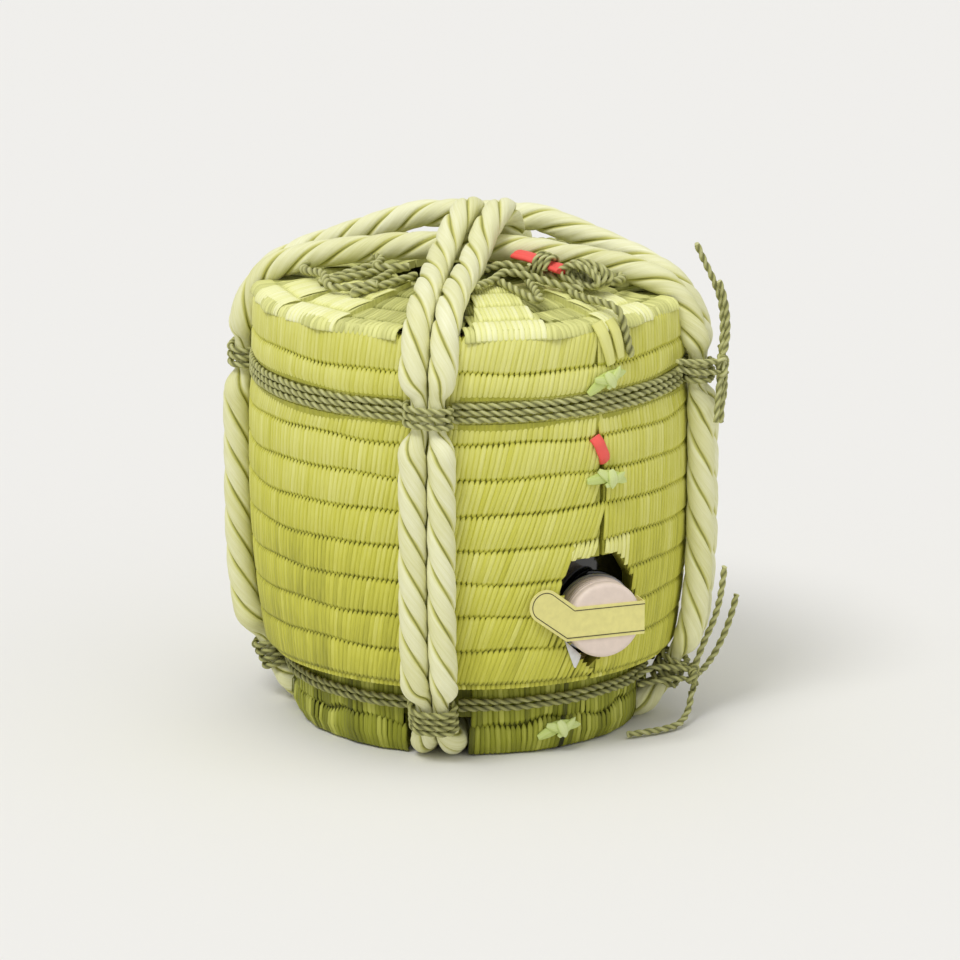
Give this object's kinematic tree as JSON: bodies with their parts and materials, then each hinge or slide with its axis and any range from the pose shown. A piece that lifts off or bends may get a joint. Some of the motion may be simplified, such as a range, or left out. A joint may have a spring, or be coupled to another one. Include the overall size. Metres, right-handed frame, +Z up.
{
  "type": "sake cask",
  "caption": "Small wooden cask wrapped in a woven straw mat, tied with thick straw ropes and thin rush cord, with a capped black neck low on its front",
  "frame": {"origin": "on the floor, under the middle of the object's bounding box without its loose cord ends, which is on the cask's axis to within half a millimetre", "axes": "+Z up along the cask's axis; -Y forward along the neck and the cap, which pulls off towards -Y; +X to the right as seen from the front"},
  "size_m": [0.1912, 0.1798, 0.2093],
  "materials": {
    "cask_wood": "bare cedar, planed",
    "head_wood": "bare cedar, planed",
    "bamboo": "split bamboo, natural",
    "black_lacquer": "gloss black lacquer",
    "stopper_plastic": "natural white, moulded",
    "cap_metal": "satin",
    "cap_plastic": "pale pinkish white, slightly satin",
    "seal_paper": "gold paper with a thin dark border line",
    "foot_straw": "fresh straw, gathered",
    "mat_straw": "fresh straw, woven",
    "tab_straw": "pale straw, woven",
    "white_paper": "matt",
    "rope_straw": "two-strand straw rope",
    "cord_rush": "twisted rush cord",
    "red_ribbon": "soft, matt",
    "tie_straw": "pale straw"
  },
  "bodies": {
    "root": {"stave_01": "cask_wood", "stave_02": "cask_wood", "stave_03": "cask_wood", "stave_04": "cask_wood", "stave_05": "cask_wood", "stave_06": "cask_wood", "stave_07": "cask_wood", "stave_08": "cask_wood", "stave_09": "cask_wood", "stave_10": "cask_wood", "stave_11": "cask_wood", "stave_12": "cask_wood", "stave_13": "cask_wood", "stave_14": "cask_wood", "top_head_board_1": "head_wood", "top_head_board_2": "head_wood", "top_head_board_3": "head_wood", "bottom_head_board_1": "head_wood", "bottom_head_board_2": "head_wood", "bottom_head_board_3": "head_wood", "hoop_1": "bamboo", "hoop_2": "bamboo", "hoop_3": "bamboo", "hoop_4": "bamboo", "neck": "black_lacquer", "straw_foot": "foot_straw", "straw_mat": "mat_straw", "lower_tabs": "tab_straw", "upper_tabs": "tab_straw", "lining_paper": "white_paper", "rope_front_1": "rope_straw", "rope_front_2": "rope_straw", "rope_side_1": "rope_straw", "rope_side_2": "rope_straw", "upper_band": "cord_rush", "upper_windings": "cord_rush", "upper_knot": "cord_rush", "lower_band": "cord_rush", "lower_windings": "cord_rush", "lower_knot": "cord_rush", "top_lacing": "cord_rush", "lacing_bundle": "cord_rush", "red_tie": "red_ribbon", "red_tie_wrap": "cord_rush", "seam_ribbon": "red_ribbon", "seam_tie_1": "tie_straw", "seam_tie_2": "tie_straw", "seam_tie_3": "tie_straw", "upper_tail": "cord_rush", "lower_tail_up": "cord_rush", "lower_tail_out": "cord_rush", "lower_tail_floor": "cord_rush"},
    "cap": {"stopper": "stopper_plastic", "cap_ring": "cap_metal", "cap_shell": "cap_plastic", "seal_strip": "seal_paper"}
  },
  "joints": [
    {"name": "cap_pull", "type": "slide", "parent": "root", "child": "cap", "axis": [0, -1, 0], "range_m": [0, 0.04]}
  ]
}
